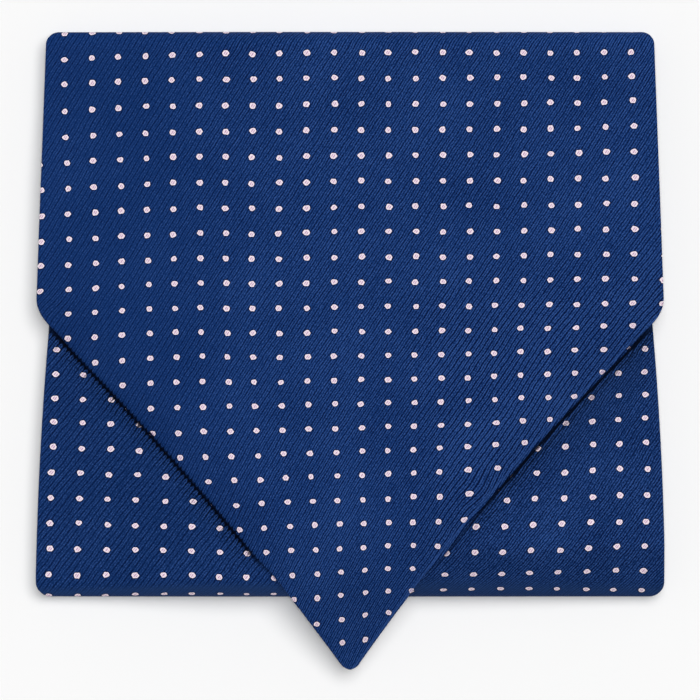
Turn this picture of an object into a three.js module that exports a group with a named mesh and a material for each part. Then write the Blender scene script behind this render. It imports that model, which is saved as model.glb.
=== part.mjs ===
import * as THREE from "three";
import { mergeVertices } from "three/addons/utils/BufferGeometryUtils.js";

// A silk day cravat with two pointed blades and a pleated neckband, folded into a flat packet.
// Millimetres, X across the packet, Y along it towards the top fold, Z up from the surface it lies on.

const clothThickness = 1.0; // a blade: face and lining of folded silk, pressed
const bandThickness = 1.4; // the neckband: the same silk in pressed pleats
const layerGap = 0.3;
const seamGap = 0.3; // between a blade and the neckband where they are sewn together

const topEdge = 78.7; // outer face of the top fold
const bottomEdge = -60.9; // outer face of the bottom fold
const frontTip = -78.7; // the front blade's point, which hangs past the bottom fold
const rearTip = 34.5; // the rear blade's point, turned up underneath

const shoulderHalf = 77.5; // half the front blade's width at its shoulders, which is its widest place
const shoulderY = 12.5;
const frontTaper = 0.0367; // each edge draws in by this much for each millimetre from the shoulders
const rearHalf = 77.7; // half the rear blade's width beside the bottom fold
const rearWideY = -54;
const rearTaper = 0.045;

const bandHalfWidth = 25;
const frontSeamY = 20; // the seams where the blades have gathered to the neckband's width
const rearSeamY = -36;

// The point of each blade: two slightly hollow diagonals from a small round tip to round shoulders.
const pointLength = 87.05; // from the corner that the diagonals aim at to the end of the straight diagonal
const pointHalfWidth = 74.5;
const pointOvershoot = 2.05; // how far that corner lies beyond the rounded tip
const tipRadius = 2.8;
const tipArcLength = 1.16;
const tipBluntHalf = 0.6;
const hollowLeft = 3.1;
const hollowRight = 3.8;
const shoulderBlend = 2.7;

// The middle of the packet is thick with the neckband, and the upper layers sag beside it.
const sagStart = 26;
const sagEnd = 74;
const sagLeft = 5.5;
const sagRight = 2.8;

// Past the rear blade's point everything above it settles to the surface.
const settleStart = 36;
const settleEnd = 66;
const settleDepth = clothThickness + layerGap;

// The front blade's free tip droops.
const droopStart = -54;
const droopDepth = 3.5;

// The layers from the surface up, and whether each one sags and settles.
const stack = [
  { name: "rearPoint", thickness: clothThickness, sags: 0, settles: 0 },
  { name: "frontBack", thickness: clothThickness, sags: 0, settles: 1 },
  { name: "bandFirst", thickness: bandThickness, sags: 0, settles: 1 },
  { name: "bandSecond", thickness: bandThickness, sags: 0, settles: 1 },
  { name: "bandThird", thickness: bandThickness, sags: 0, settles: 1 },
  { name: "bandFourth", thickness: bandThickness, sags: 0, settles: 1 },
  { name: "bandLast", thickness: bandThickness, sags: 1, settles: 1 },
  { name: "rearFace", thickness: clothThickness, sags: 1, settles: 1 },
  { name: "frontFace", thickness: clothThickness, sags: 1, settles: 1 },
];
const layers = {};
let underside = 0;
for (const layer of stack) {
  layers[layer.name] = { ...layer, height: underside + layer.thickness / 2 };
  underside += layer.thickness + layerGap;
}
// The gathered end of each blade lies in one layer with the end of the neckband that it is sewn to.
layers.frontGather = layers.bandFirst;
layers.rearGather = layers.bandLast;

// Where the cloth turns back. Reach is a fold's depth along Y above its nose, on the left and on the right,
// and below is the same under the nose. Rise is the nose's height between the two layers.
// The bottom fold is crisp on the left and soft on the right.
const crease = clothThickness * 0.75; // the reach of a fold pressed flat inside the packet
const bandCrease = (bandThickness + layerGap) / 2;
const topNose = topEdge - clothThickness / 2;
const bottomNose = bottomEdge + clothThickness / 2;
const folds = {
  top: { y: topNose, side: 1, reach: [4, 4], below: 4, rise: [0.5, 0.5], corner: 2.5 },
  bottom: { y: bottomNose, side: -1, reach: [5, 13], below: 3, rise: [0.45, 0.35], corner: 2.5 },
  frontInner: pressedFold(-54, -1, crease),
  rearInner: pressedFold(74, 1, crease),
  bandTop: pressedFold(74, 1, bandCrease),
  bandBottomLow: pressedFold(-51, -1, bandCrease),
  bandBottomHigh: pressedFold(-48.5, -1, bandCrease),
};
const softStart = -15; // the bottom fold goes from crisp to soft between these places along X
const softEnd = 35;

function pressedFold(y, side, reach) {
  return { y, side, reach: [reach, reach], below: reach, rise: [0.5, 0.5], corner: reach };
}

function smooth(value, start, end) {
  return THREE.MathUtils.smoothstep(value, start, end);
}

function sag(x) {
  const depth = x < 0 ? sagLeft : sagRight;
  return depth * smooth(Math.abs(x), sagStart, sagEnd);
}

function settle(y) {
  return settleDepth * smooth(y, settleStart, settleEnd);
}

function layerHeight(name, x, y) {
  const layer = layers[name];
  const droop = name === "frontFace" ? Math.max(0, (droopStart - y) / (droopStart - frontTip)) : 0;
  return layer.height - layer.sags * sag(x) - layer.settles * settle(y) - droopDepth * droop ** 2;
}

function softness(x) {
  return smooth(x, softStart, softEnd);
}

function foldReach(fold, x) {
  return THREE.MathUtils.lerp(fold.reach[0], fold.reach[1], softness(x));
}

// Half the width of a pointed end, a distance in from its tip, on the left (side -1) or right.
function pointHalf(distance, side) {
  if (distance < tipArcLength) {
    const fromCentre = tipRadius - distance;
    return Math.max(tipBluntHalf, Math.sqrt(tipRadius ** 2 - fromCentre ** 2));
  }
  const along = 1 - (distance + pointOvershoot) / pointLength;
  const hollow = side < 0 ? hollowLeft : hollowRight;
  const bow = along > 0 ? 4 * along * (1 - along) * hollow : 0;
  return pointHalfWidth * (1 - along) - bow;
}

// The smaller of two half-widths, with the corner between them rounded.
function softMin(first, second, blend) {
  const overlap = Math.max(blend - Math.abs(first - second), 0) / blend;
  return Math.min(first, second) - (overlap ** 2 * blend) / 4;
}

// Half-width of each stretch of cloth at a place along Y, on one side.
const frontFlank = (y) => shoulderHalf - frontTaper * (y - shoulderY);
const frontBackHalf = (y) => frontFlank(2 * topEdge - y);
const rearFlank = (y) => rearHalf - rearTaper * Math.max(0, y - rearWideY);
const widths = {
  frontFace: (y, side) => softMin(frontFlank(y), pointHalf(y - frontTip, side), shoulderBlend),
  frontBack: frontBackHalf,
  frontGather: (y) => gather(y, folds.frontInner.y, frontSeamY, frontBackHalf(folds.frontInner.y)),
  rearPoint: (y, side) => softMin(rearHalf, pointHalf(rearTip - y, side), shoulderBlend),
  rearFace: rearFlank,
  rearGather: (y) => gather(y, folds.rearInner.y, rearSeamY, rearFlank(folds.rearInner.y)),
  band: () => bandHalfWidth,
};

// A blade's half-width where it gathers from its full width to the neckband's.
function gather(y, wideY, seamY, wideHalf) {
  const gathered = THREE.MathUtils.smootherstep(Math.abs(y - wideY), 0, Math.abs(seamY - wideY));
  return THREE.MathUtils.lerp(wideHalf, bandHalfWidth, gathered);
}

// Each piece is a path of runs and folds. A run goes from one place along Y to another, or to a fold.
const frontBladePath = [
  { layer: "frontFace", width: "frontFace", from: frontTip, to: frontTip + tipArcLength, rows: 3 },
  { layer: "frontFace", width: "frontFace", from: frontTip + tipArcLength, to: 4, rows: 10 },
  { layer: "frontFace", width: "frontFace", from: 4, to: 13, rows: 3 },
  { layer: "frontFace", width: "frontFace", from: 13, toFold: "top", rows: 8 },
  { fold: "top", leaves: "frontFace", enters: "frontBack", width: "frontFace", rows: 8 },
  { layer: "frontBack", width: "frontBack", fromFold: "top", toFold: "frontInner", rows: 14 },
  { fold: "frontInner", leaves: "frontBack", enters: "frontGather", width: "frontBack", rows: 6 },
  { layer: "frontGather", width: "frontGather", fromFold: "frontInner", to: frontSeamY, rows: 8 },
];
const neckbandPath = [
  { layer: "bandFirst", width: "band", from: frontSeamY + seamGap, toFold: "bandTop", rows: 7 },
  { fold: "bandTop", leaves: "bandFirst", enters: "bandSecond", width: "band", rows: 6 },
  { layer: "bandSecond", width: "band", fromFold: "bandTop", toFold: "bandBottomLow", rows: 12 },
  { fold: "bandBottomLow", leaves: "bandSecond", enters: "bandThird", width: "band", rows: 6 },
  { layer: "bandThird", width: "band", fromFold: "bandBottomLow", toFold: "bandTop", rows: 12 },
  { fold: "bandTop", leaves: "bandThird", enters: "bandFourth", width: "band", rows: 6 },
  { layer: "bandFourth", width: "band", fromFold: "bandTop", toFold: "bandBottomHigh", rows: 12 },
  { fold: "bandBottomHigh", leaves: "bandFourth", enters: "bandLast", width: "band", rows: 6 },
  { layer: "bandLast", width: "band", fromFold: "bandBottomHigh", to: rearSeamY - seamGap, rows: 2 },
];
const rearBladePath = [
  { layer: "rearPoint", width: "rearPoint", from: rearTip, to: rearTip - tipArcLength, rows: 3 },
  { layer: "rearPoint", width: "rearPoint", from: rearTip - tipArcLength, to: -50, rows: 10 },
  { layer: "rearPoint", width: "rearPoint", from: -50, toFold: "bottom", rows: 2 },
  { fold: "bottom", leaves: "rearPoint", enters: "rearFace", width: "rearFace", rows: 12 },
  { layer: "rearFace", width: "rearFace", fromFold: "bottom", toFold: "rearInner", rows: 14 },
  { fold: "rearInner", leaves: "rearFace", enters: "rearGather", width: "rearFace", rows: 6 },
  { layer: "rearGather", width: "rearGather", fromFold: "rearInner", to: rearSeamY, rows: 12 },
];

// Where a run ends against a fold. The cloth meets the bottom fold lower down on its underside.
function foldEdge(name, layer, x) {
  const fold = folds[name];
  const reach = layer === "rearPoint" ? fold.below : foldReach(fold, x);
  return fold.y - fold.side * reach;
}

// The path's place along Y and Z at a fraction of one stretch, for a strip of cloth at x.
function pathPoint(stretch, fraction, x) {
  if (!stretch.fold) {
    const start = stretch.fromFold ? foldEdge(stretch.fromFold, stretch.layer, x) : stretch.from;
    const end = stretch.toFold ? foldEdge(stretch.toFold, stretch.layer, x) : stretch.to;
    const y = THREE.MathUtils.lerp(start, end, fraction);
    return { y, z: layerHeight(stretch.layer, x, y) };
  }
  const fold = folds[stretch.fold];
  const angle = fraction * Math.PI;
  const layer = fraction < 0.5 ? stretch.leaves : stretch.enters;
  const edge = foldEdge(stretch.fold, layer, x);
  const leaving = layerHeight(stretch.leaves, x, fold.y);
  const entering = layerHeight(stretch.enters, x, fold.y);
  const low = Math.min(leaving, entering);
  const high = Math.max(leaving, entering);
  const rise = THREE.MathUtils.lerp(fold.rise[0], fold.rise[1], softness(x));
  const noseHeight = THREE.MathUtils.lerp(low, high, rise);
  const runHeight = fraction < 0.5 ? leaving : entering;
  return {
    y: THREE.MathUtils.lerp(edge, fold.y, Math.sin(angle)),
    z: THREE.MathUtils.lerp(noseHeight, runHeight, Math.abs(Math.cos(angle))),
  };
}

// How far the cloth's edge is drawn in where a fold's corner is rounded.
function cornerInset(stretch, y) {
  let inset = 0;
  for (const name of [stretch.fold, stretch.toFold, stretch.fromFold]) {
    const fold = folds[name];
    if (!fold) continue;
    const missing = Math.max(0, fold.corner - Math.abs(fold.y - y));
    inset = Math.max(inset, fold.corner - Math.sqrt(fold.corner ** 2 - missing ** 2));
  }
  return inset;
}

// The middle of the cloth at a fraction of one stretch and a place across it, from -1 to 1.
function clothPoint(stretch, fraction, across) {
  const side = Math.sign(across);
  const nominal = pathPoint(stretch, fraction, 0).y;
  const fullX = across * widths[stretch.width](nominal, side);
  const edgeY = pathPoint(stretch, fraction, fullX).y;
  const x = across * (widths[stretch.width](nominal, side) - cornerInset(stretch, edgeY));
  const { y, z } = pathPoint(stretch, fraction, x);
  return new THREE.Vector3(x, y, z);
}

// One closed sheet of cloth: a flat slab whose rows follow the path, with a face on either side of it.
function foldedSheet(path, thickness, columns) {
  const rows = path.flatMap((stretch) =>
    Array.from({ length: stretch.rows }, (_, index) => ({ stretch, fraction: index / stretch.rows })),
  );
  rows.push({ stretch: path.at(-1), fraction: 1 });
  const slab = new THREE.BoxGeometry(2, rows.length - 1, 2, columns, rows.length - 1, 1);
  slab.deleteAttribute("normal");
  slab.deleteAttribute("uv");
  const geometry = mergeVertices(slab);
  const position = geometry.attributes.position;
  const step = 0.01;
  const corner = new THREE.Vector3();
  for (let index = 0; index < position.count; index += 1) {
    corner.fromBufferAttribute(position, index);
    const { stretch, fraction } = rows[Math.round(corner.y + (rows.length - 1) / 2)];
    const middle = clothPoint(stretch, fraction, corner.x);
    const before = clothPoint(stretch, Math.max(0, fraction - step), corner.x);
    const after = clothPoint(stretch, Math.min(1, fraction + step), corner.x);
    const length = Math.hypot(after.y - before.y, after.z - before.z);
    const offset = (corner.z * thickness) / 2 / length;
    const y = middle.y - offset * (after.z - before.z);
    const z = middle.z + offset * (after.y - before.y);
    position.setXYZ(index, middle.x, y, z);
  }
  geometry.computeVertexNormals();
  return geometry;
}

function silk(colour) {
  return new THREE.MeshStandardMaterial({ color: colour, roughness: 0.55, metalness: 0 });
}

function piece(name, path, thickness, columns, colour) {
  const mesh = new THREE.Mesh(foldedSheet(path, thickness, columns), silk(colour));
  mesh.name = name;
  return mesh;
}

const cravat = new THREE.Group();
cravat.name = "cravat";
cravat.add(piece("front_blade", frontBladePath, clothThickness, 18, 0x183266));
cravat.add(piece("neckband", neckbandPath, bandThickness, 6, 0x172f60));
cravat.add(piece("rear_blade", rearBladePath, clothThickness, 18, 0x15295a));

export default cravat;
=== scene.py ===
import math

import bpy
import numpy as np
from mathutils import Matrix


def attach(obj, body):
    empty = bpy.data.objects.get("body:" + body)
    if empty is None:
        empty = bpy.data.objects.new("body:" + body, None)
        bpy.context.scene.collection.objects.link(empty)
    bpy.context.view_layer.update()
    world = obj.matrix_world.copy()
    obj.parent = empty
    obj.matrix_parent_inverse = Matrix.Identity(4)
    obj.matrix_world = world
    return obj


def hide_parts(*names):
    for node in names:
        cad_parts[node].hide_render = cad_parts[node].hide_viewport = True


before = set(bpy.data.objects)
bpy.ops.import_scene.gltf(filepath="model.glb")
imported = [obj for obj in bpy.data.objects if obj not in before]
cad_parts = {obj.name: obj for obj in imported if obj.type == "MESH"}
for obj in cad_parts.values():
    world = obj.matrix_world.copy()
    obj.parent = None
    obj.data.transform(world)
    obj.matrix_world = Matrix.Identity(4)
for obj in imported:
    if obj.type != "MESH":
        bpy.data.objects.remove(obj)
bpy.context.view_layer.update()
print("frame loaded")

mm = 0.001  # shapes are worked out in millimetres, and addMesh turns them into metres

# The packet's driving sizes in millimetres: X across, Y towards the top fold, Z up. They are the solids' own,
# except that here the rear blade's sides are bowed a little and the tip droops lower.
packet = {
    "topEdge": 78.7,
    "bottomEdge": -60.9,
    "frontTip": -78.7,
    "rearTip": 34.5,
    "clothThickness": 1.0,
    "bandThickness": 1.4,
    "layerGap": 0.3,
    "seamGap": 0.3,
    "bandHalfWidth": 25.0,
    "frontSeamY": 20.0,
    "rearSeamY": -36.0,
    "shoulderHalf": 77.5,
    "shoulderY": 12.5,
    "frontTaper": 0.0367,
    "rearHalf": 77.7,
    "rearWideY": -54.0,
    "rearTaper": 0.021,
    "rearBow": 0.00055,
    "rearSeen": 60.0,
    "sagStart": 26.0,  # beside the neckband the upper layers sag
    "sagEnd": 74.0,
    "sagLeft": 5.5,
    "sagRight": 2.8,
    "settleStart": 36.0,  # past the rear point the layers above it settle
    "settleEnd": 66.0,
    "droopStart": -54.0,  # the free tip droops
    "droopDepth": 6.0,
    "softStart": -15.0,  # the bottom fold is crisp to the left of this and soft to the right of softEnd
    "softEnd": 35.0,
}

# The point of a blade: hollow diagonals from a round tip to round shoulders.
point = {
    "length": 87.05,
    "halfWidth": 74.5,
    "overshoot": 2.05,
    "tipRadius": 2.8,
    "tipArc": 1.16,
    "bluntHalf": 0.6,
    "hollowLeft": 3.1,
    "hollowRight": 3.8,
    "shoulderBlend": 2.7,
}


def smoothStep(value, start, end):
    # 0 before start, 1 after end and a cubic ease between them; start may be the larger
    t = np.clip((value - start) / (end - start), 0.0, 1.0)
    return t * t * (3.0 - 2.0 * t)


def lerp(first, second, t):
    return first + (second - first) * t


def buildLayers():
    # middle height of each layer from the surface up, and whether it sags and settles
    cloth, band = packet["clothThickness"], packet["bandThickness"]
    stack = [
        ("rearPoint", cloth, 0, 0),
        ("frontBack", cloth, 0, 1),
        ("bandFirst", band, 0, 1),
        ("bandSecond", band, 0, 1),
        ("bandThird", band, 0, 1),
        ("bandFourth", band, 0, 1),
        ("bandLast", band, 1, 1),
        ("rearFace", cloth, 1, 1),
        ("frontFace", cloth, 1, 1),
    ]
    found, underside = {}, 0.0
    for name, thickness, sags, settles in stack:
        found[name] = (underside + thickness / 2, sags, settles)
        underside += thickness + packet["layerGap"]
    found["frontGather"] = found["bandFirst"]
    found["rearGather"] = found["bandLast"]
    return found


layers = buildLayers()

# Slow waves that pressing leaves in the upper layers: height in mm, waves per mm along X and Y, and phase.
waves = [
    (0.16, 0.0105, 0.0040, 0.4),
    (0.10, -0.0060, 0.0150, 1.9),
    (0.05, 0.0230, 0.0090, 3.1),
]
wavesLift = 0.1  # so that the troughs stay clear of the layer below


def reliefAt(x, y):
    # sum of a few long sine waves, the same for every upper layer so that the gaps between them stay
    total = wavesLift + np.zeros_like(x + y)
    for height, alongX, alongY, phase in waves:
        total = total + height * np.sin(2 * math.pi * (alongX * x + alongY * y) + phase)
    return total


def layerHeight(name, x, y):
    # a layer's middle height less what it sags beside the neckband, settles past the rear point and droops
    height, sags, settles = layers[name]
    depth = np.where(x < 0, packet["sagLeft"], packet["sagRight"])
    sag = depth * smoothStep(np.abs(x), packet["sagStart"], packet["sagEnd"])
    settleDepth = packet["clothThickness"] + packet["layerGap"]
    settle = settleDepth * smoothStep(y, packet["settleStart"], packet["settleEnd"])
    z = height - sags * sag - settles * settle + sags * reliefAt(x, y)
    if name == "frontFace":
        out = (packet["droopStart"] - y) / (packet["droopStart"] - packet["frontTip"])
        z = z - packet["droopDepth"] * np.maximum(0.0, out) ** 2 + edgeLift(x, y)
    return z


# The point's diagonals stand off the layer below and are rolled over to a soft hem: heights in mm, how far in
# they start, and where along Y they come and go. Ribs wrap over the roll and leave it finely toothed.
hem = {
    "liftLeft": 1.5,
    "liftRight": 2.0,
    "liftWave": 0.25,  # the lift wavers this much along Y, by this angle in radians for each mm
    "waveAngle": 0.13,
    "waveStart": 2.2,
    "reach": 14.0,
    "start": 10.0,
    "full": 2.0,
    "fade": -42.0,
    "end": -67.0,
    "rollWidth": 1.9,
    "rollDepth": 1.6,
    "rollLeast": 0.12,  # the share of the roll that stays where the lift has gone
    "out": 0.9,  # over the layer below, the rolled flank reaches this far along X past the bright edge
    "outFrom": -56.0,
    "outFull": -50.0,
    "outFade": -3.0,
    "outEnd": 5.0,
    "slant": 0.7,  # a length along X times this is the length square to a diagonal
}
teeth = {
    "pitch": 1.02,
    "height": 0.1,
    "depth": 0.2,
    "middle": 0.6,  # what is taken from each tooth's wave, so that it goes both in and out
    "uneven": 0.35,
    "swells": (1.7, 0.61),  # two slow waves along the edge that make them uneven, in radians for each mm
    "from": 4.0,  # in from the tip
    "to": 84.0,
    "ease": 4.0,
    "rightFrom": -16.0,  # on the right they show in the outline near the shoulder only
    "rightFull": -8.0,
}


def toothWave(y):
    # rounded teeth of slowly changing height, one for each rib that meets the edge
    distance = y - packet["frontTip"]
    comes = smoothStep(distance, teeth["from"], teeth["from"] + teeth["ease"])
    goes = smoothStep(distance, teeth["to"], teeth["to"] - teeth["ease"])
    first, second = teeth["swells"]
    uneven = 1 + teeth["uneven"] * np.sin(distance * first) * np.sin(distance * second + 1)
    wave = np.abs(np.cos(math.pi * distance / teeth["pitch"])) - teeth["middle"]
    return comes * goes * uneven * wave


def flankOut(y):
    # how far the hem's flank reaches past the point's edge: only where the layer below lies under it
    comes = smoothStep(y, hem["outFrom"], hem["outFull"])
    return hem["out"] * comes * smoothStep(y, hem["outEnd"], hem["outFade"])


def edgeLift(x, y):
    # rises to its full height on the way out to the diagonal, then falls along a quarter ellipse at the hem
    left = x < 0
    distance = y - packet["frontTip"]
    flank = np.where(left, pointHalf(distance, -1), pointHalf(distance, 1))
    inside = np.maximum(0.0, (flank + flankOut(y) - np.abs(x)) * hem["slant"])
    wave = hem["liftWave"] * np.sin(y * hem["waveAngle"] + hem["waveStart"])
    height = np.where(left, hem["liftLeft"], hem["liftRight"]) + wave
    below = smoothStep(y, hem["start"], hem["full"])
    along = below * smoothStep(y, hem["end"], hem["fade"])
    over = np.clip(1 - inside / hem["rollWidth"], 0.0, 1.0)
    roll = hem["rollDepth"] * (1 - np.sqrt(1 - over**2)) * below
    ribbed = np.where(left, teeth["depth"], teeth["depth"] / 2) * toothWave(y) * over
    lift = height * along * smoothStep(inside, hem["reach"], 0.0)
    return lift - roll * lerp(hem["rollLeast"], 1.0, along) + ribbed


def softness(x):
    return smoothStep(x, packet["softStart"], packet["softEnd"])


def pressedFold(y, side, reach):
    # a fold pressed until it is no longer than it is high
    both = (reach, reach)
    return {"y": y, "side": side, "reach": both, "below": reach, "rise": (0.5, 0.5), "corner": reach}


crease = packet["clothThickness"] * 0.75
bandCrease = (packet["bandThickness"] + packet["layerGap"]) / 2
halfCloth = packet["clothThickness"] / 2
topNose = packet["topEdge"] - halfCloth
bottomNose = packet["bottomEdge"] + halfCloth

# Each fold: where its nose lies along Y and which way it points, how far before it the runs end (reach is
# for the crisp end and the soft one, below for the lowest layer), how high between its two layers the nose
# lies at both ends, and the radius of its corners.
folds = {
    "top": {"y": topNose, "side": 1, "reach": (4, 4), "below": 4, "rise": (0.5, 0.5), "corner": 2.5},
    "bottom": {
        "y": bottomNose,
        "side": -1,
        "reach": (5, 13),
        "below": 3,
        "rise": (0.45, 0.36),
        "corner": 3.1,
    },
    "frontInner": pressedFold(-54, -1, crease),
    "rearInner": pressedFold(74, 1, crease),
    "bandTop": pressedFold(74, 1, bandCrease),
    "bandBottomLow": pressedFold(-51, -1, bandCrease),
    "bandBottomHigh": {**pressedFold(-48.5, -1, bandCrease), "between": ("bandFourth", "bandLast")},
}


def pointHalf(distance, side):
    # half-width a distance in from the tip: a small arc, then a straight diagonal less a shallow bow
    fromCentre = np.clip(point["tipRadius"] - distance, 0.0, point["tipRadius"])
    arc = np.maximum(point["bluntHalf"], np.sqrt(point["tipRadius"] ** 2 - fromCentre**2))
    along = 1 - (distance + point["overshoot"]) / point["length"]
    hollow = point["hollowLeft"] if side < 0 else point["hollowRight"]
    bow = np.where(along > 0, 4 * along * (1 - along) * hollow, 0.0)
    diagonal = point["halfWidth"] * (1 - along) - bow
    return np.where(distance < point["tipArc"], arc, diagonal)


def softMin(first, second, blend):
    # the smaller of two widths, with the corner between them rounded
    overlap = np.maximum(blend - np.abs(first - second), 0.0) / blend
    return np.minimum(first, second) - overlap**2 * blend / 4


def frontFlank(y):
    return packet["shoulderHalf"] - packet["frontTaper"] * (y - packet["shoulderY"])


def frontBackHalf(y):
    return frontFlank(2 * packet["topEdge"] - y)


def rearFlank(y):
    # straight past the stretch that is seen, and a parabola along it
    distance = np.maximum(0.0, y - packet["rearWideY"])
    seen = np.minimum(distance, packet["rearSeen"])
    return packet["rearHalf"] - packet["rearTaper"] * distance - packet["rearBow"] * seen**2


def gatherHalf(y, wideY, seamY, wideHalf):
    # a blade narrows from its full width to the neckband's with a smooth ease at both ends
    t = np.clip(np.abs(y - wideY) / abs(seamY - wideY), 0.0, 1.0)
    eased = t**3 * (t * (t * 6 - 15) + 10)
    return lerp(wideHalf, packet["bandHalfWidth"], eased)


def halfWidth(name, y, side):
    # half the cloth's width on one side, at a place along Y
    blend = point["shoulderBlend"]
    if name == "frontFace":
        return softMin(frontFlank(y), pointHalf(y - packet["frontTip"], side), blend)
    if name == "frontBack":
        return frontBackHalf(y)
    if name == "frontGather":
        wideY = folds["frontInner"]["y"]
        return gatherHalf(y, wideY, packet["frontSeamY"], frontBackHalf(wideY))
    if name == "rearPoint":
        return softMin(packet["rearHalf"] + 0 * y, pointHalf(packet["rearTip"] - y, side), blend)
    if name == "rearFace":
        return rearFlank(y)
    if name == "rearGather":
        wideY = folds["rearInner"]["y"]
        return gatherHalf(y, wideY, packet["rearSeamY"], rearFlank(wideY))
    return packet["bandHalfWidth"] + 0 * y


def foldEdge(name, layer, x):
    # where a run meets a fold; a fold between an even layer and a wavy one reaches half the way between them
    fold = folds[name]
    above = lerp(fold["reach"][0], fold["reach"][1], softness(x))
    if "between" in fold:
        lower, upper = [layerHeight(other, x, fold["y"] + 0 * x) for other in fold["between"]]
        above = (upper - lower) / 2
    reach = fold["below"] + 0 * x if layer == "rearPoint" else above
    return fold["y"] - fold["side"] * reach


def runPoint(stretch, t, x):
    # a run is straight along Y, and its height is its layer's
    start = foldEdge(stretch["fromFold"], stretch["layer"], x) if "fromFold" in stretch else stretch["start"]
    end = foldEdge(stretch["toFold"], stretch["layer"], x) if "toFold" in stretch else stretch["end"]
    y = lerp(start, end, t) + 0 * x
    return y, layerHeight(stretch["layer"], x, y)


def turnPoint(stretch, t, x):
    # a fold is two quarter ellipses that meet upright at its nose
    fold = folds[stretch["fold"]]
    angle = t * math.pi
    leaving = layerHeight(stretch["leaves"], x, fold["y"] + 0 * x)
    entering = layerHeight(stretch["enters"], x, fold["y"] + 0 * x)
    rise = lerp(fold["rise"][0], fold["rise"][1], softness(x))
    nose = lerp(np.minimum(leaving, entering), np.maximum(leaving, entering), rise)
    before = t < 0.5
    edge = np.where(
        before,
        foldEdge(stretch["fold"], stretch["leaves"], x),
        foldEdge(stretch["fold"], stretch["enters"], x),
    )
    level = np.where(before, leaving, entering)
    y = lerp(edge, fold["y"], np.sin(angle))
    return y, lerp(nose, level, np.abs(np.cos(angle)))


def pathPoint(stretch, t, x):
    return turnPoint(stretch, t, x) if "fold" in stretch else runPoint(stretch, t, x)


def cornerInset(stretch, y):
    # the edge is drawn in along a quarter circle where a fold's corner is rounded
    inset = np.zeros_like(y)
    for key in ("fold", "toFold", "fromFold"):
        if key in stretch:
            fold = folds[stretch[key]]
            missing = np.maximum(0.0, fold["corner"] - np.abs(fold["y"] - y))
            inset = np.maximum(inset, fold["corner"] - np.sqrt(fold["corner"] ** 2 - missing**2))
    return inset


def run(layer, rows, **ends):
    return {"layer": layer, "width": layer, "rows": rows, **ends}


def turn(fold, leaves, enters, width, rows):
    return {"fold": fold, "leaves": leaves, "enters": enters, "width": width, "rows": rows}


def hemOut(stretch, y, side):
    # how far the hem stands out past the flat outline of the point
    if stretch.get("layer") != "frontFace":
        return 0 * y
    strength = 1.0 if side < 0 else smoothStep(y, teeth["rightFrom"], teeth["rightFull"])
    return flankOut(y) + teeth["height"] * strength * toothWave(y)


leastHalf = 0.1  # no row is narrower than twice this


def clothRows(path, across, edgeOut, thickness):
    # Middle surface of a strip: rows along its path, columns across it. Returns X, Y and Z in mm, with each
    # row's layer. edgeOut is how far each column stands outside the flat edge, where it is rounded over.
    xs, ys, zs, names = [], [], [], []
    side = np.sign(across)[None, :]
    for index, stretch in enumerate(path):
        last = index == len(path) - 1
        t = np.arange(stretch["rows"] + (1 if last else 0))[:, None] / stretch["rows"]
        nominal, _ = pathPoint(stretch, t, np.zeros((1, 1)))
        left = halfWidth(stretch["width"], nominal, -1) + hemOut(stretch, nominal, -1)
        right = halfWidth(stretch["width"], nominal, 1) + hemOut(stretch, nominal, 1)
        half = np.where(side < 0, left, right)
        edgeY, _ = pathPoint(stretch, t, across[None, :] * half)
        half = np.maximum(half - cornerInset(stretch, edgeY) - thickness / 2, leastHalf)
        x = across[None, :] * half + side * edgeOut[None, :]
        y, z = pathPoint(stretch, t, x)
        xs.append(x)
        ys.append(y)
        zs.append(z)
        names += [stretch.get("layer", "")] * len(t)
    return np.vstack(xs), np.vstack(ys), np.vstack(zs), np.array(names)


roundSteps = 4  # points round each edge, an even number so that the ends close in quads


def ringProfile(columns):
    # One turn round the cloth's section: over its face, round one edge, back under it and round the other.
    # Columns crowd towards the edges. Returns place across, distance outside the flat edge, and height.
    even = np.linspace(-1, 1, columns)
    face = np.sign(even) * (1 - (1 - np.abs(even)) ** 2)
    angle = np.linspace(math.pi / 2, -math.pi / 2, roundSteps + 2)[1:-1]
    edge = np.ones(roundSteps)
    across = np.concatenate([face, edge, face[::-1], -edge])
    out = np.concatenate([0 * face, np.cos(angle), 0 * face, np.cos(angle)])
    up = np.concatenate([0 * face + 1, np.sin(angle), 0 * face - 1, -np.sin(angle)])
    return across, out, up


def ringFaces(rows, columns):
    # quads between neighbouring rows, and across both ends from the face to the underside
    ring = 2 * (columns + roundSteps)
    index = np.arange(rows * ring).reshape(rows, ring)
    beside = np.roll(index, -1, axis=1)
    sides = np.stack([index[:-1], beside[:-1], beside[1:], index[1:]], axis=-1).reshape(-1, 4)
    half = roundSteps // 2
    over = np.roll(np.arange(ring), half)[: columns + roundSteps]
    under = np.roll(np.arange(ring), half)[columns + roundSteps :][::-1]
    quads = [sides]
    for row in (0, rows - 1):
        top, low = index[row][over], index[row][under]
        cap = np.stack([top[:-1], top[1:], low[1:], low[:-1]], axis=-1)
        quads.append(cap[:, ::-1] if row == 0 else cap)
    return np.vstack(quads)


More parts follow.
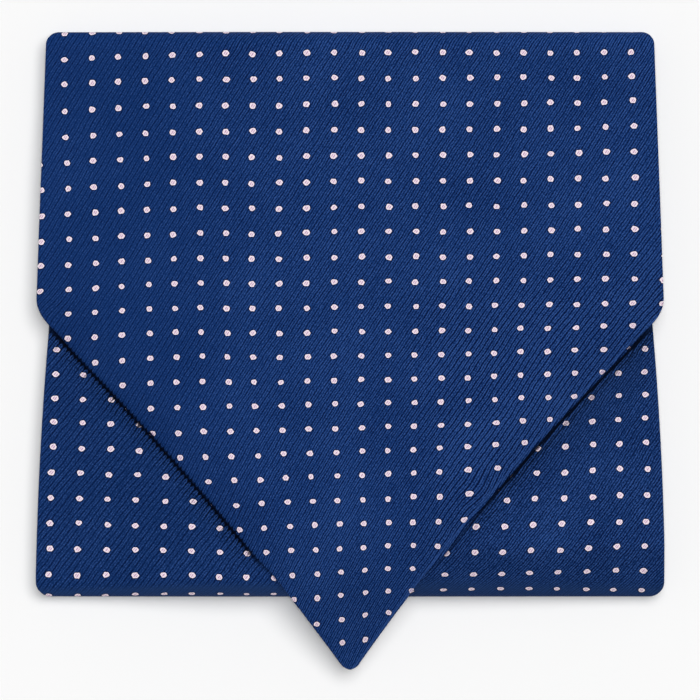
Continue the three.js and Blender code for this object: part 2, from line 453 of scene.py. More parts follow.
def addMesh(name, points, quads, uv):
    # one mesh object from whole arrays, with the cloth's own thread coordinates as its UV map
    mesh = bpy.data.meshes.new(name)
    mesh.vertices.add(len(points))
    mesh.vertices.foreach_set("co", np.ascontiguousarray(points * mm, dtype=np.float32).ravel())
    mesh.loops.add(quads.size)
    mesh.loops.foreach_set("vertex_index", np.ascontiguousarray(quads, dtype=np.int32).ravel())
    mesh.polygons.add(len(quads))
    mesh.polygons.foreach_set("loop_start", np.arange(len(quads), dtype=np.int32) * 4)
    mesh.update(calc_edges=True)
    layer = mesh.uv_layers.new(name="cloth")
    layer.data.foreach_set("uv", np.ascontiguousarray(uv[quads.ravel()], dtype=np.float32).ravel())
    mesh.shade_smooth()
    obj = bpy.data.objects.new(name, mesh)
    bpy.context.scene.collection.objects.link(obj)
    return obj


def foldedSheet(name, path, thickness, columns, threads, anchorLayer):
    # A closed sheet of cloth: its section's ring carried along the fold path. The cloth's own length is
    # counted along Y on the runs and round the arc on the folds, so it agrees with Y on the layer that shows.
    across, out, up = ringProfile(columns)
    x, y, z, names = clothRows(path, across, out * thickness / 2, thickness)
    dy, dz = np.gradient(y, axis=0), np.gradient(z, axis=0)
    offset = up[None, :] * thickness / 2 / np.hypot(dy, dz)
    points = np.stack([x, y - offset * dz, z + offset * dy], axis=-1)
    onRun = (names[:-1] != "")[:, None]
    step = np.where(onRun, np.abs(np.diff(y, axis=0)), np.hypot(np.diff(y, axis=0), np.diff(z, axis=0)))
    along = np.vstack([np.zeros((1, x.shape[1])), np.cumsum(step, axis=0)])
    onFace = np.flatnonzero(names == anchorLayer)
    anchor = onFace[np.argmin(np.abs(y[onFace, columns // 2]))]  # the row where the length is Y itself
    flatY = along - along[anchor] + y[anchor]
    uv = np.stack(threads(x, flatY), axis=-1)
    quads = ringFaces(x.shape[0], columns)
    return addMesh(name, points.reshape(-1, 3), quads, uv.reshape(-1, 2))


def pulled(x, flatY, pulls):
    # the place that the cloth had before a few soft bell-shaped pulls moved it
    moveX, moveY = 0 * x, 0 * flatY
    for centreX, centreY, spreadX, spreadY, right, up in pulls:
        bell = np.exp(-(((x - centreX) / spreadX) ** 2) - ((flatY - centreY) / spreadY) ** 2)
        moveX = moveX + right * bell
        moveY = moveY + up * bell
    return x - moveX, flatY - moveY


# Where the pressed cloth is pulled out of square, in mm: centre X and Y, spread along X and Y, and how far it
# is moved to the right and up.
frontPulls = [
    (-70, 25, 25, 30, 1.2, -0.5),
    (-76, 9, 4, 4, -1.2, 0.0),
    (0, -25, 65, 20, -0.2, 0.4),
    (-20, 30, 12, 35, -0.4, -0.6),
    (45, -27, 13, 13, 1.8, 0.5),
    (-42, -5, 13, 13, 0.5, 0.6),
    (-50, 8, 13, 16, 0.4, 0.0),
    (45, 5, 13, 13, -0.8, 0.2),
    (78, 38, 13, 25, 0.7, -0.4),
    (76, 44, 10, 10, 0.1, 0.4),
    (82, 20, 10, 30, 0.9, -0.95),
    (66, 75, 15, 12, -0.4, -0.6),
    (25, -50, 12, 12, 0.1, -0.9),
    (5, -62, 10, 10, 0.2, 0.5),
    (-12, -43, 12, 12, 0.4, 0.4),
    (-10, -67, 5, 5, -0.5, -0.6),
    (8, -67, 6, 6, 0.3, 0.7),
    (-6, -80, 9, 4, -0.6, -1.6),
    (34, -36, 6, 6, 1.9, 0.0),
    (0, 76, 90, 5, 0.0, -0.3),
    (-66, 77, 24, 6, 0.1, -0.3),
    (10, 77, 10, 6, 0.0, 0.3),
    (56, 77, 24, 6, 0.0, -0.3),
    (0, 84, 90, 4, 0.0, 1.6),
]
rearPulls = [
    (10, -25, 65, 17, 1.7, 0.8),
    (78, -12, 18, 18, -1.3, 0.8),
    (80, 7, 10, 7, -2.0, 0.0),
    (-80, 10, 40, 30, 1.0, 0.1),
    (-25, -30, 40, 15, 0.0, -0.6),
    (-42, -58, 16, 12, 0.8, 0.8),
    (-70, -55, 12, 10, 0.2, -0.2),
    (-60, -50, 18, 14, 0.3, 0.2),
    (78, -17, 8, 8, 0.0, 0.3),
    (63, -24, 12, 9, 0.1, 0.55),
    (70, -52, 14, 7, 0.0, 0.4),
    (60, -42, 14, 12, 0.4, 0.45),
    (14, -60, 5, 4, -1.2, 0.0),
    (38, -61, 48, 7, -0.2, 2.4),
    (38, -61.5, 48, 4, 0.0, 1.7),
    (-45, -62, 45, 3.5, 0.3, 1.4),
]

# The woven dots' rows and columns on the front blade, in mm: where column 0 and row 0 lie, their pitches, and
# how the cloth's set changes them. Rows are counted downwards.
frontDots = {
    "columnZero": 2.84,
    "columnPitch": 6.683,
    "columnDrift": 0.085,  # column 0 leans this far for each row below driftRow
    "driftRow": 3.0,
    "driftMost": 0.65,
    "pinch": 0.00545,  # the columns draw together towards the tip
    "rowZero": 10.75,
    "rowPitch": 6.115,
    "rowTighten": 0.0167,
    "topRow": -11.5,  # above this the pitch stays as it is
    "lastRow": 16,
    "bow": 0.00111,  # rows dip at the left and rise at the right
    "tilt": 0.042,
    "tiltEase": 20.0,
    "dipRow": -14.5,  # above this, out of sight, they are straight
    "rounds": 3,  # how often columns and rows are worked out from each other
}


def frontThreads(x, flatY):
    # Column and row of the dots at a place on the flat cloth. The row is a quadratic in the distance down;
    # columns and rows are worked out in turn, each with the other's last value.
    d = frontDots
    x, flatY = pulled(x, flatY, frontPulls)
    down = d["rowZero"] - flatY
    top = d["rowPitch"] * d["topRow"] - d["rowTighten"] * d["topRow"] ** 2
    topPitch = d["rowPitch"] - 2 * d["rowTighten"] * d["topRow"]

    def rowAt(distance):
        inside = np.maximum(distance, top)
        root = np.sqrt(np.maximum(d["rowPitch"] ** 2 - 4 * d["rowTighten"] * inside, 1.0))
        return (d["rowPitch"] - root) / (2 * d["rowTighten"]) + (distance - inside) / topPitch

    row = rowAt(down)
    for _ in range(d["rounds"]):
        pitch = d["columnPitch"] - d["pinch"] * np.clip(row + 1, 0, d["lastRow"]) ** 2
        drift = np.clip((row - d["driftRow"]) * d["columnDrift"], 0, d["driftMost"])
        column = (x - d["columnZero"] - drift) / pitch
        ease = 1 + np.minimum(column, 0) / d["tiltEase"]
        dip = d["bow"] * column**3 + d["tilt"] * np.clip(row, 0, d["lastRow"]) * column * ease
        row = rowAt(down + np.where(row < d["dipRow"], 0, dip))
    return column, row


# The same for the rear blade's face, which shows below.
rearDots = {
    "columnZero": -60.33,
    "columnPitch": 7.017,
    "centreColumn": 8.5,
    "lean": 0.027,  # how far the columns lean to the right for each mm up
    "rowZero": -36.33,
    "rowPitch": 6.244,
    "rowLoosen": 0.033,
    "topRow": -14.0,
    "bow": 1.5,  # rows sag this far in the middle, and not at all this many columns from it
    "bowHalf": 10.5,
}


def rearThreads(x, flatY):
    # Column and row on the rear blade: rows are a quadratic in the distance down, with a shallow sag
    d = rearDots
    x, flatY = pulled(x, flatY, rearPulls)
    middle = d["columnZero"] + d["centreColumn"] * d["columnPitch"] + d["lean"] * (flatY - d["rowZero"])
    column = (x - middle) / d["columnPitch"] + d["centreColumn"]
    across = (column - d["centreColumn"]) / d["bowHalf"]
    down = d["rowZero"] - flatY - d["bow"] * np.maximum(1 - across**2, 0)
    top = d["rowPitch"] * d["topRow"] + d["rowLoosen"] * d["topRow"] ** 2
    topPitch = d["rowPitch"] + 2 * d["rowLoosen"] * d["topRow"]
    inside = np.maximum(down, top)
    root = np.sqrt(d["rowPitch"] ** 2 + 4 * d["rowLoosen"] * inside)
    row = (root - d["rowPitch"]) / (2 * d["rowLoosen"]) + (down - inside) / topPitch
    return column, row


bandColumn = 0.4  # the column at the neckband's middle


def plainThreads(x, flatY):
    return x / frontDots["columnPitch"] + bandColumn, -flatY / frontDots["rowPitch"]


# Silk twill, yarn-dyed navy with a pale pink pin dot woven in. Filament silk gives the eye a low sheen that
# wakes at a slant, steep fine ribs with dark furrows between them, and dots that stand slightly proud. Where
# two numbers stand together, what they are for goes from none at the first to full at the second.
silkTwill = {
    "columnPitch": 6.7,
    "rowPitch": 6.2,
    "ribsPerColumn": 9.2,  # ribs crossed in one column pitch, 0.73 mm apart along X
    "ribsPerRow": 5.65,
    "ribRight": 0.54,  # how far along a rib a mm to the right and a mm up lead
    "ribUp": 0.84,
    "ribWander": 0.7,
    "wanderCells": 0.22,  # noise cells for each mm
    "furrow": "#020d32",
    "ground": "#0e2d62",
    "ribTop": "#30518f",
    "groundTones": (0.15, 0.5),
    "ribTopTones": (0.5, 0.85),
    "furrowShare": 0.4,
    "ribTone": 0.435,  # how much each rib, and each second rib, stands out from the ground
    "pairTone": 0.115,
    "pairFade": 0.046,  # taken from pairTone where the ribs are clear
    "pairStrong": 0.08,  # added to it low on the right
    "flatTone": 0.56,  # the ribs are pressed flat on the left and clear further right
    "clearTone": 1.0,
    "clearColumns": (-10.0, 0.0),
    "strongTone": 0.32,  # added to that low on the right, where the cloth is a little darker too
    "strongDim": 0.04,
    "strongColumns": (1.0, 4.0),
    "strongRows": (-3.0, 1.0),
    "slowTone": 0.12,
    "slowCells": 0.05,
    "paintedSheen": "#1f3864",  # painted sheen: where the cloth curves down, a pale sheen painted into the colour dulls the ribs
    "paintedSheenShare": 0.0,
    "bentSlopes": (0.975, 0.72),
    "crease": "#01040f",  # painted shade beside the hem, where hardly any light gets in, darkest between the ribs
    "creaseTeeth": 0.35,
    "creaseNarrow": 0.02,
    "creaseReach": (1.4, 1.0),  # in mm past the point's edge
    "paintedCreaseShade": 0.9,
    "secondPaintedShade": 0.0,  # a fainter line of painted shade beside it, high on the right
    "shadeReach": (5.5, 0.8),
    "shadeDark": 0.0,
    "bareHem": 0.0,  # no dot shows on the hem's flank
    "hemLight": 0.0,  # on the right the top of the rolled hem catches the light
    "tipShade": 0.0,
    "edgeShade": 0.0,  # a faint broad shade towards the hem, and deeper ones beside it high and low at right
    "farShade": 0.0,
    "lowShade": 0.0,
    "dotWide": 0.72,  # half the dot's width and height in mm
    "dotHigh": 0.63,
    "dotStray": 0.35,  # how far in mm a dot may lie from its place in the pattern, side to side
    "dotCorners": 0.55,  # from a circle, 0, to a hexagon, 1
    "dotRagged": 0.42,
    "raggedCells": 1.3,
    "dotSizes": 0.14,
    "dotEdge": (1.1, 0.95),  # in parts of the dot's half size, as the halo's and the heart's
    "dotRing": "#fdeef6",
    "heartEdge": (0.95, 0.45),
    "dotHeart": "#ead8e4",
    "dotStrand": "#b48fae",
    "strandsPerRib": 1.25,
    "strandWave": (0.2, 1.3),
    "halo": "#030c33",
    "haloEdge": (1.6, 1.15),
    "haloDark": 0.7,
    "ribDepth": 0.05,
    "ribHeight": 0.6,  # parts of ribDepth
    "grainHeight": 0.5,
    "dotHeight": 0.8,
    "roughness": 0.62,
    "roughStreak": 0.12,
    "specular": 0.015,
    "indexOfRefraction": 1.5,
    "sheen": 0.02,
    "sheenRoughness": 0.4,
    "sheenTint": "#5f7fc0",
}

# What makes the yarn uneven: noise cells for each rib and for each mm along it, the noise's detail, and how
# much tone it gives. Streaks run along the ribs, and single threads cross them as grain and flecks.
yarn = {
    "streak": (1.0, 0.3, 1.0, 0.17),
    "grain": (1.7, 1.9, 0.0, 0.36),
    "fleck": (3.1, 3.7, 0.0, 0.42),
}


def linear(hexColour):
    # an sRGB hex value as linear RGBA
    channels = [int(hexColour[k : k + 2], 16) / 255 for k in (1, 3, 5)]
    return [c / 12.92 if c <= 0.04045 else ((c + 0.055) / 1.055) ** 2.4 for c in channels] + [1.0]


def addNode(tree, kind, settings):
    # One node. Each setting is a property of it, the value of an input, or an output that joins an input.
    node = tree.nodes.new(kind)
    for key, value in settings.items():
        if isinstance(value, bpy.types.NodeSocket):
            tree.links.new(value, node.inputs[key])
        elif isinstance(key, str) and hasattr(node, key):
            setattr(node, key, value)
        else:
            node.inputs[key].default_value = value
    return node


def nodeTools(tree):
    # four short ways to add a node to a tree, each of which gives the node's output
    def calc(operation, *values):
        settings = {"operation": operation, **dict(enumerate(values))}
        return addNode(tree, "ShaderNodeMath", settings).outputs[0]

    def ramp(value, low, high):
        # 0 at low, 1 at high and a smooth ease between them; low may be the larger
        settings = {"interpolation_type": "SMOOTHSTEP", "Value": value, "From Min": low, "From Max": high}
        if low > high:
            settings = {**settings, "From Min": high, "From Max": low, "To Min": 1.0, "To Max": 0.0}
        return addNode(tree, "ShaderNodeMapRange", settings).outputs[0]

    def mix(factor, first, second):
        settings = {"data_type": "RGBA", 0: factor, 6: first, 7: second}
        return addNode(tree, "ShaderNodeMix", settings).outputs[2]

    def noise(first, second, detail):
        vector = addNode(tree, "ShaderNodeCombineXYZ", {"X": first, "Y": second}).outputs[0]
        settings = {"noise_dimensions": "2D", "Vector": vector, "Scale": 1.0, "Detail": detail}
        return addNode(tree, "ShaderNodeTexNoise", settings).outputs[0]

    return calc, ramp, mix, noise


def slopeOf(tree):
    # the height of the surface's normal: 1 where the cloth lies face up and 0 where it is upright
    normal = addNode(tree, "ShaderNodeNewGeometry", {}).outputs["Normal"]
    return addNode(tree, "ShaderNodeSeparateXYZ", {"Vector": normal}).outputs[2]


def weave(tree, look, column, row, x, y):
    # Ribs: broad with narrow furrows, each second furrow deeper, from a wave whose phase wanders a little.
    # Tone is 0.5 for the ground, less in the furrows and more on the ribs.
    calc, ramp, _, noise = nodeTools(tree)
    cells = look["wanderCells"]
    wander = calc("SUBTRACT", noise(calc("MULTIPLY", x, cells), calc("MULTIPLY", y, cells), 1.0), 0.5)
    crossed = calc("MULTIPLY", column, look["ribsPerColumn"])
    phase = calc("ADD", crossed, calc("MULTIPLY", row, look["ribsPerRow"]))
    phase = calc("MULTIPLY_ADD", wander, look["ribWander"], phase)
    along = calc("SUBTRACT", calc("MULTIPLY", x, look["ribRight"]), calc("MULTIPLY", y, look["ribUp"]))
    rib = calc("MULTIPLY_ADD", calc("SINE", calc("MULTIPLY", phase, 2 * math.pi)), 0.5, 0.5)
    furrow = calc("POWER", calc("SUBTRACT", 1.0, rib), 2.0)
    pair = calc("SINE", calc("MULTIPLY_ADD", phase, math.pi, -math.pi / 4))
    tone = calc("MULTIPLY_ADD", calc("SUBTRACT", look["furrowShare"], furrow), look["ribTone"], 0.5)
    clear = ramp(column, *look["clearColumns"])
    strong = calc("MULTIPLY", ramp(column, *look["strongColumns"]), ramp(row, *look["strongRows"]))
    pairTone = calc("MULTIPLY_ADD", clear, -look["pairFade"], look["pairTone"])
    pairTone = calc("MULTIPLY_ADD", strong, look["pairStrong"], pairTone)
    tone = calc("MULTIPLY_ADD", pair, pairTone, tone)
    parts = {"phase": phase, "rib": rib, "pair": pair}
    for part, (perRib, perMm, detail, strength) in yarn.items():
        parts[part] = noise(calc("MULTIPLY", phase, perRib), calc("MULTIPLY", along, perMm), detail)
        tone = calc("MULTIPLY_ADD", calc("SUBTRACT", parts[part], 0.5), strength, tone)
    cells = look["slowCells"]
    slow = noise(calc("MULTIPLY", x, cells), calc("MULTIPLY", y, cells), 1.0)
    tone = calc("MULTIPLY_ADD", calc("SUBTRACT", slow, 0.5), look["slowTone"], tone)
    clear = calc("MULTIPLY_ADD", clear, look["clearTone"] - look["flatTone"], look["flatTone"])
    clear = calc("MULTIPLY_ADD", strong, look["strongTone"], clear)
    tone = calc("MULTIPLY_ADD", calc("SUBTRACT", tone, 0.5), clear, 0.5)
    parts["tone"] = calc("MULTIPLY_ADD", strong, -look["strongDim"], tone)
    return parts


def clothColour(tree, look, tone):
    # from the furrows over the ground to the ribs' tops, and the painted sheen where the cloth bends down
    calc, ramp, mix, _ = nodeTools(tree)
    lower = mix(ramp(tone, *look["groundTones"]), linear(look["furrow"]), linear(look["ground"]))
    cloth = mix(ramp(tone, *look["ribTopTones"]), lower, linear(look["ribTop"]))
    sheenShare = calc("MULTIPLY", ramp(slopeOf(tree), *look["bentSlopes"]), look["paintedSheenShare"])
    return mix(sheenShare, cloth, linear(look["paintedSheen"]))


def pinDots(tree, look, column, row, x, y):
    # One dot at each crossing of a column and a row, each a little off its place, with six soft corners.
    # Gives the distance from its middle, 1 at the edge, and the noise that makes the edge ragged.
    calc, _, _, noise = nodeTools(tree)
    cells = [calc("FLOOR", calc("ADD", place, 0.5)) for place in (column, row)]
    cell = addNode(tree, "ShaderNodeCombineXYZ", {"X": cells[0], "Y": cells[1]}).outputs[0]
    chance = addNode(tree, "ShaderNodeTexWhiteNoise", {"noise_dimensions": "2D", "Vector": cell}).outputs[1]
    shift = addNode(tree, "ShaderNodeSeparateXYZ", {"Vector": chance})
    sides = []
    for axis, place, pitch, half in ((0, column, "columnPitch", "dotWide"), (1, row, "rowPitch", "dotHigh")):
        away = calc("MULTIPLY", calc("SUBTRACT", place, cells[axis]), look[pitch])
        away = calc("MULTIPLY_ADD", calc("SUBTRACT", shift.outputs[axis], 0.5), look["dotStray"], away)
        sides.append(calc("ABSOLUTE", calc("DIVIDE", away, look[half])))
    wide, high = sides
    slanted = calc("MULTIPLY_ADD", wide, math.cos(math.pi / 6), calc("MULTIPLY", high, math.sin(math.pi / 6)))
    hexagon = calc("MULTIPLY", calc("MAXIMUM", high, slanted), look["dotCorners"])
    circle = calc("SQRT", calc("ADD", calc("MULTIPLY", wide, wide), calc("MULTIPLY", high, high)))
    distance = calc("MULTIPLY_ADD", circle, 1 - look["dotCorners"], hexagon)
    ragged = noise(calc("MULTIPLY", x, look["raggedCells"]), calc("MULTIPLY", y, look["raggedCells"]), 0.0)
    distance = calc("MULTIPLY_ADD", calc("SUBTRACT", ragged, 0.5), look["dotRagged"], distance)
    distance = calc("MULTIPLY_ADD", calc("SUBTRACT", shift.outputs[2], 0.5), look["dotSizes"], distance)
    return distance, ragged


# Where the painted shades beside the point's hems come and go, from none to full: in mm along Y, or past
# the point's edge, where it is below zero inside.
hemShades = {
    "window": (hem["start"] + 3, hem["full"]),
    "bare": (-0.1, 0.15),
    "crestInside": 0.45,
    "crestWidth": (0.35, 0.1),
    "rightTeeth": 0.3,  # on the right the painted crease shade is narrower and has hardly any teeth
    "fade": (-58.0, -46.0),  # it fades towards the lower fold, and on the right this much higher up
    "fadeHigher": 12.0,
    "fadeLeast": 0.4,
    "secondPast": 2.1,
    "secondWidth": (0.45, 0.1),
    "secondAlong": (-42.0, -22.0),
    "furrowTones": (0.62, 0.3),
    "tipAlong": (-38.0, -68.0),
    "edgePast": (-13.0, -2.0),
    "farPast": (14.0, 2.0),
    "farAlong": (-40.0, -16.0),
    "lowAlong": (-46.0, -52.0),
}


def hemShading(tree, look, pair, tone):
    # Painted shade beside the point's diagonals, a painted highlight on the hem, and 1 where dots may show,
    # from the distance past their edge in mm. That is the outline's: half the width grows evenly from the
    # tip, less a shallow bow.
    calc, ramp, _, _ = nodeTools(tree)
    s = hemShades
    place = addNode(tree, "ShaderNodeTexCoord", {}).outputs["Object"]
    place = addNode(tree, "ShaderNodeSeparateXYZ", {"Vector": place})
    x, y = calc("DIVIDE", place.outputs[0], mm), calc("DIVIDE", place.outputs[1], mm)
    along = calc("DIVIDE", calc("SUBTRACT", y, packet["frontTip"] - point["overshoot"]), point["length"])
    bow = calc("MULTIPLY", calc("MULTIPLY", along, calc("SUBTRACT", 1.0, along)), 4.0)
    right = calc("GREATER_THAN", x, 0.0)
    hollow = calc("MULTIPLY_ADD", right, point["hollowRight"] - point["hollowLeft"], point["hollowLeft"])
    half = calc("SUBTRACT", calc("MULTIPLY", along, point["halfWidth"]), calc("MULTIPLY", bow, hollow))
    past = calc("MULTIPLY", calc("SUBTRACT", calc("ABSOLUTE", x), half), hem["slant"])
    faceUp = ramp(slopeOf(tree), -0.1, 0.1)
    window = calc("MULTIPLY", faceUp, ramp(y, *s["window"]))
    bare = calc("MULTIPLY", calc("MULTIPLY", ramp(past, *s["bare"]), window), look["bareHem"])
    crest = ramp(calc("ABSOLUTE", calc("ADD", past, s["crestInside"])), *s["crestWidth"])
    light = calc("MULTIPLY", calc("MULTIPLY", crest, right), calc("MULTIPLY", window, look["hemLight"]))
    window = calc("MULTIPLY", window, ramp(y, hem["outFrom"], hem["outFull"]))

    # painted shade: the crease, its teeth, a fainter second line beside it and the wide shade between the
    # ribs
    fewer = look["creaseTeeth"] * (s["rightTeeth"] - 1)
    notch = calc("MULTIPLY", pair, calc("MULTIPLY_ADD", right, fewer, look["creaseTeeth"]))
    inward = 1.0 if look["creaseReach"][0] > look["creaseReach"][1] else -1.0
    narrow = calc("MULTIPLY", right, look["creaseNarrow"])
    notched = calc("MULTIPLY_ADD", calc("ADD", notch, narrow), inward, past)
    near = calc("MULTIPLY", ramp(notched, *look["creaseReach"]), look["paintedCreaseShade"])
    fade = ramp(calc("MULTIPLY_ADD", right, -s["fadeHigher"], y), *s["fade"])
    fade = calc("MULTIPLY_ADD", fade, 1 - s["fadeLeast"], s["fadeLeast"])
    near = calc("MULTIPLY", near, fade)
    beside = ramp(calc("ABSOLUTE", calc("SUBTRACT", past, s["secondPast"])), *s["secondWidth"])
    beside = calc("MULTIPLY", calc("MULTIPLY", beside, look["secondPaintedShade"]), right)
    beside = calc("MULTIPLY", beside, ramp(y, *s["secondAlong"]))
    wide = calc("MULTIPLY", ramp(past, *look["shadeReach"]), look["shadeDark"])
    wide = calc("MULTIPLY", calc("MULTIPLY", wide, ramp(tone, *s["furrowTones"])), fade)
    shade = calc("MULTIPLY", calc("MAXIMUM", calc("MAXIMUM", near, beside), wide), window)

    # faint broad painted shades: at the tip, along the edge, and beside it high and low on the right
    tip = calc("MULTIPLY", ramp(y, *s["tipAlong"]), look["tipShade"])
    edge = calc("MULTIPLY", ramp(past, *s["edgePast"]), look["edgeShade"])
    far = calc("MULTIPLY", calc("MULTIPLY", ramp(past, *s["farPast"]), right), ramp(y, *s["farAlong"]))
    far = calc("MULTIPLY", far, look["farShade"])
    low = calc("MULTIPLY", calc("MULTIPLY", ramp(y, *s["lowAlong"]), right), look["lowShade"])
    broad = calc("MAXIMUM", calc("MAXIMUM", tip, edge), calc("MAXIMUM", far, low))
    return calc("MAXIMUM", shade, broad), light, calc("SUBTRACT", 1.0, bare)


def buildSilk(name, look):
    # the cloth's colour from its weave, its dots, painted sheen where it bends, and painted shade and a
    # painted highlight at the hem, and a bump for ribs and dots
    material = bpy.data.materials.new(name)
    material.use_nodes = True
    tree = material.node_tree
    tree.nodes.clear()
    calc, ramp, mix, _ = nodeTools(tree)
    uv = addNode(tree, "ShaderNodeUVMap", {"uv_map": "cloth"}).outputs[0]
    place = addNode(tree, "ShaderNodeSeparateXYZ", {"Vector": uv})
    column, row = place.outputs[0], place.outputs[1]
    x = calc("MULTIPLY", column, look["columnPitch"])
    y = calc("MULTIPLY", row, look["rowPitch"])
    threads = weave(tree, look, column, row, x, y)
    distance, ragged = pinDots(tree, look, column, row, x, y)
    shade, light, clearOfHem = hemShading(tree, look, threads["pair"], threads["tone"])

    dot = calc("MULTIPLY", ramp(distance, *look["dotEdge"]), clearOfHem)
    halo = calc("MULTIPLY", ramp(distance, *look["haloEdge"]), look["haloDark"])
    heart = ramp(distance, *look["heartEdge"])
    strand = calc("SINE", calc("MULTIPLY", threads["phase"], look["strandsPerRib"] * 2 * math.pi))
    strand = calc("MULTIPLY", ramp(calc("ADD", strand, ragged), *look["strandWave"]), heart)
    pink = mix(heart, linear(look["dotRing"]), linear(look["dotHeart"]))
    pink = mix(strand, pink, linear(look["dotStrand"]))
    colour = mix(halo, clothColour(tree, look, threads["tone"]), linear(look["halo"]))
    colour = mix(dot, colour, pink)
    # a painted highlight on the hem's crest, then painted shade beside the hem, at the tip and along the edge
    colour = mix(light, colour, linear(look["ribTop"]))
    colour = mix(shade, colour, linear(look["crease"]))

    height = calc("MULTIPLY", threads["grain"], look["grainHeight"])
    height = calc("MULTIPLY_ADD", threads["rib"], look["ribHeight"], height)
    height = calc("MULTIPLY", height, calc("SUBTRACT", 1.0, dot))
    height = calc("MULTIPLY_ADD", dot, look["dotHeight"], height)
    bump = {"Strength": 1.0, "Distance": look["ribDepth"] * mm, "Height": height}
    leastRough = look["roughness"] - look["roughStreak"] / 2
    settings = {
        "Base Color": colour,
        "Roughness": calc("MULTIPLY_ADD", threads["streak"], look["roughStreak"], leastRough),
        "Normal": addNode(tree, "ShaderNodeBump", bump).outputs[0],
        "IOR": look["indexOfRefraction"],
        "Specular IOR Level": look["specular"],
        "Sheen Weight": look["sheen"],
        "Sheen Roughness": look["sheenRoughness"],
        "Sheen Tint": linear(look["sheenTint"]),
    }
    shader = addNode(tree, "ShaderNodeBsdfPrincipled", settings)
    addNode(tree, "ShaderNodeOutputMaterial", {"Surface": shader.outputs[0]})
    return material


def makeFrontBlade():
    # rows lie closest where the hem is toothed, and less close up to the shoulder
    tip, arc = packet["frontTip"], point["tipArc"]
    toothed, shoulder = 4.0, 13.0
    path = [
        run("frontFace", rows=10, start=tip, end=tip + arc),
        run("frontFace", rows=300, start=tip + arc, end=toothed),
        run("frontFace", rows=24, start=toothed, end=shoulder),
        run("frontFace", rows=74, start=shoulder, toFold="top"),
        turn("top", "frontFace", "frontBack", "frontFace", rows=26),
        run("frontBack", rows=44, fromFold="top", toFold="frontInner"),
        turn("frontInner", "frontBack", "frontGather", "frontBack", rows=8),
        run("frontGather", rows=24, fromFold="frontInner", end=packet["frontSeamY"]),
    ]
    blade = foldedSheet("frontBlade", path, packet["clothThickness"], 75, frontThreads, "frontFace")
    look = {
        **silkTwill,
        # the hem's flank is darkened with painted shade, its crest gets a painted highlight, and the tip and
        # the cloth towards the hem a faint painted shade
        "crease": "#02091c",
        "creaseNarrow": 0.03,
        "creaseTeeth": 0.25,
        "creaseReach": (0.05, 0.45),
        "bareHem": 1.0,
        "hemLight": 0.4,
        "tipShade": 0.14,
        "edgeShade": 0.1,
    }
    blade.data.materials.append(buildSilk("navyPinDotSilkTwill", look))
    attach(blade, "root")
    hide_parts("front_blade")
    return blade


def makeNeckband():
    path = [
        run("bandFirst", rows=18, start=packet["frontSeamY"] + packet["seamGap"], toFold="bandTop"),
        turn("bandTop", "bandFirst", "bandSecond", "band", rows=8),
        run("bandSecond", rows=40, fromFold="bandTop", toFold="bandBottomLow"),
        turn("bandBottomLow", "bandSecond", "bandThird", "band", rows=8),
        run("bandThird", rows=40, fromFold="bandBottomLow", toFold="bandTop"),
        turn("bandTop", "bandThird", "bandFourth", "band", rows=8),
        run("bandFourth", rows=40, fromFold="bandTop", toFold="bandBottomHigh"),
        turn("bandBottomHigh", "bandFourth", "bandLast", "band", rows=8),
        run("bandLast", rows=5, fromFold="bandBottomHigh", end=packet["rearSeamY"] - packet["seamGap"]),
    ]
    band = foldedSheet("pleatedBand", path, packet["bandThickness"], 21, plainThreads, "bandThird")
    look = {**silkTwill, "sheen": 0.04, "paintedCreaseShade": 0.0}
    band.data.materials.append(buildSilk("pleatedPinDotSilkTwill", look))
    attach(band, "root")
    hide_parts("neckband")
    return band


def makeRearBlade():
    # the point lies underneath, and its last rows before the bottom fold lie closer
    tip, arc = packet["rearTip"], point["tipArc"]
    beforeFold = -50.0
    path = [
        run("rearPoint", rows=8, start=tip, end=tip - arc),
        run("rearPoint", rows=120, start=tip - arc, end=beforeFold),
        run("rearPoint", rows=8, start=beforeFold, toFold="bottom"),
        turn("bottom", "rearPoint", "rearFace", "rearFace", rows=36),
        run("rearFace", rows=120, fromFold="bottom", toFold="rearInner"),
        turn("rearInner", "rearFace", "rearGather", "rearFace", rows=8),
        run("rearGather", rows=36, fromFold="rearInner", end=packet["rearSeamY"]),
    ]
    blade = foldedSheet("rearBlade", path, packet["clothThickness"], 61, rearThreads, "rearFace")
    look = {
        **silkTwill,
        "ribsPerColumn": 8.8,
        "ribDepth": 0.08,
        "ribWander": 0.9,
        "ribTone": 0.36,
        "pairTone": 0.125,
        "pairFade": 0.07,
        "pairStrong": 0.0,
        "ground": "#0d2a5b",
        "ribTop": "#2f4f8c",
        "flatTone": 0.75,
        "clearTone": 1.13,
        "clearColumns": (5.0, 13.0),
        "strongTone": 0.1,
        "strongDim": 0.0,
        # painted sheen where the bottom fold bends down
        "paintedSheenShare": 0.75,
        # painted shade beside the hem, and faint painted shades high and low on the right
        "paintedCreaseShade": 0.95,
        "secondPaintedShade": 0.55,
        "shadeDark": 0.9,
        "farShade": 0.2,
        "lowShade": 0.15,
    }
    blade.data.materials.append(buildSilk("ribbedPinDotSilkTwill", look))
    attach(blade, "root")
    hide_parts("rear_blade")
    return blade


front = makeFrontBlade()
print("front blade made")
band = makeNeckband()
print("neckband made")
rear = makeRearBlade()
print("rear blade made")

# The surface it lies on: a plain matt white board.
stageLook = {"colour": "#f7f7f7", "size": 4.0, "drop": 0.0002, "roughness": 0.9, "specular": 0.0}


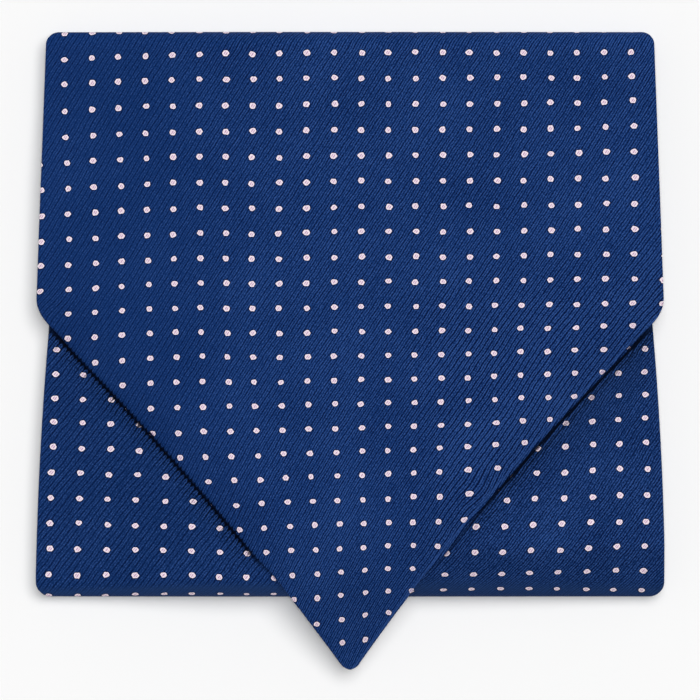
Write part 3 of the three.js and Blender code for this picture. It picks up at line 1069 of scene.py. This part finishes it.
def makeFloor():
    corners = np.array([[0.0, 0.0], [1.0, 0.0], [1.0, 1.0], [0.0, 1.0]])
    flat = (corners - 0.5) * stageLook["size"]
    points = np.column_stack([flat, np.full(len(flat), -stageLook["drop"])])
    floor = addMesh("floor", points / mm, np.arange(len(flat))[None, :], corners)
    material = bpy.data.materials.new("mattWhiteBoard")
    material.use_nodes = True
    shader = material.node_tree.nodes["Principled BSDF"]
    shader.inputs["Base Color"].default_value = linear(stageLook["colour"])
    shader.inputs["Roughness"].default_value = stageLook["roughness"]
    shader.inputs["Specular IOR Level"].default_value = stageLook["specular"]
    floor.data.materials.append(material)


# Soft studio light: a large lamp high on the right behind the top fold, a lamp straight above, and a surround
# that is pale near the horizon and dim overhead. Angles are in degrees, bearings round from +X towards +Y.
lamps = {
    "keyLamp": {"strength": 1.85, "spread": 39.0, "tilt": 18.0, "bearing": 54.0},
    "topLamp": {"strength": 1.02, "spread": 9.0, "tilt": 0.0, "bearing": 0.0},
}
surround = {"From Min": 0.1, "From Max": 0.3, "To Min": 0.85, "To Max": 0.12}


def makeLights():
    for name, place in lamps.items():
        lamp = bpy.data.lights.new(name, "SUN")
        lamp.energy = place["strength"]
        lamp.angle = math.radians(place["spread"])
        lampObject = bpy.data.objects.new(name, lamp)
        lampObject.rotation_euler = (math.radians(place["tilt"]), 0, math.radians(place["bearing"] + 90))
        bpy.context.scene.collection.objects.link(lampObject)
    world = bpy.data.worlds.new("paleStudio")
    world.use_nodes = True
    tree = world.node_tree
    tree.nodes.clear()
    direction = addNode(tree, "ShaderNodeTexCoord", {}).outputs["Generated"]
    height = addNode(tree, "ShaderNodeSeparateXYZ", {"Vector": direction}).outputs[2]
    strength = addNode(tree, "ShaderNodeMapRange", {**surround, "Value": height}).outputs[0]
    settings = {"Color": (1.0, 1.0, 1.0, 1.0), "Strength": strength}
    background = addNode(tree, "ShaderNodeBackground", settings)
    addNode(tree, "ShaderNodeOutputWorld", {"Surface": background.outputs[0]})
    bpy.context.scene.world = world


# The camera looks straight down, from far enough off that the packet's height hardly shows. Distance and clip
# end are in metres, the rest in mm.
cameraLook = {
    "distance": 3.0,
    "clipEnd": 20.0,
    "sensor": 36.0,
    "frameWidth": 172.87,
    "focusHeight": 9.0,
    "shiftY": 0.07,
}


def makeCamera():
    data = bpy.data.cameras.new("overhead")
    data.sensor_width = cameraLook["sensor"]
    reach = cameraLook["distance"] / mm - cameraLook["focusHeight"]
    data.lens = cameraLook["sensor"] * reach / cameraLook["frameWidth"]
    data.clip_end = cameraLook["clipEnd"]
    camera = bpy.data.objects.new("overhead", data)
    camera.location = (0, cameraLook["shiftY"] * mm, cameraLook["distance"])
    bpy.context.scene.collection.objects.link(camera)
    bpy.context.scene.camera = camera


makeFloor()
makeLights()
makeCamera()
bpy.context.scene.view_settings.view_transform = "Standard"
print("floor, light and camera set")
